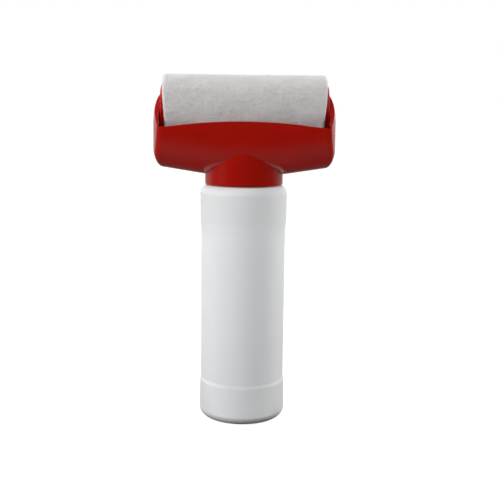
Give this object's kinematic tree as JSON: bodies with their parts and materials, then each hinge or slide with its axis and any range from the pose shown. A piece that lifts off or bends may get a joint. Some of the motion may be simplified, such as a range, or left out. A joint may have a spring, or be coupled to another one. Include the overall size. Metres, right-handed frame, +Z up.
{
  "type": "refillable bottle paint roller",
  "caption": "Hand paint roller whose squeeze-bottle handle holds the paint, with a screw-on trough head carrying a napped roller on a rod.",
  "frame": {"origin": "centre of the bottle's base, on the plane the tool stands on", "axes": "+Z up along the bottle's axis, X along the roller's axis, -Y towards the front"},
  "size_m": [0.114, 0.055, 0.219],
  "materials": {
    "bottle_plastic": "milky translucent",
    "seal_rubber": "soft matte",
    "insert_plastic": "satin",
    "head_plastic": "glossy",
    "cap_plastic": "glossy",
    "rod_steel": "drawn wire",
    "nap_fabric": "short dense nap"
  },
  "bodies": {
    "bottle": {"bottle": "bottle_plastic"},
    "seal": {"neck_seal": "seal_rubber"},
    "head": {"roller_head": "head_plastic", "flow_insert": "insert_plastic", "spreader_plate": "head_plastic", "axle_rod": "rod_steel"},
    "roller": {"roller_core": "insert_plastic", "roller_nap": "nap_fabric", "left_end_cap": "cap_plastic", "right_end_cap": "cap_plastic"}
  },
  "joints": [
    {"name": "head_lift", "type": "slide", "parent": "bottle", "child": "seal", "axis": [0, 0, 1], "range_m": [0, 0.008]},
    {"name": "head_turn", "type": "hinge", "parent": "seal", "child": "head", "pos_m": [0, 0, 0.155], "axis": [0, 0, 1], "range_deg": [0, 720]},
    {"name": "roller_spin", "type": "hinge", "parent": "head", "child": "roller", "pos_m": [0, 0, 0.1965], "axis": [1, 0, 0], "continuous": true}
  ],
  "couplings": [
    {"joint": "head_lift", "follows": "head_turn", "m_per_rad": 0.00063662}
  ]
}
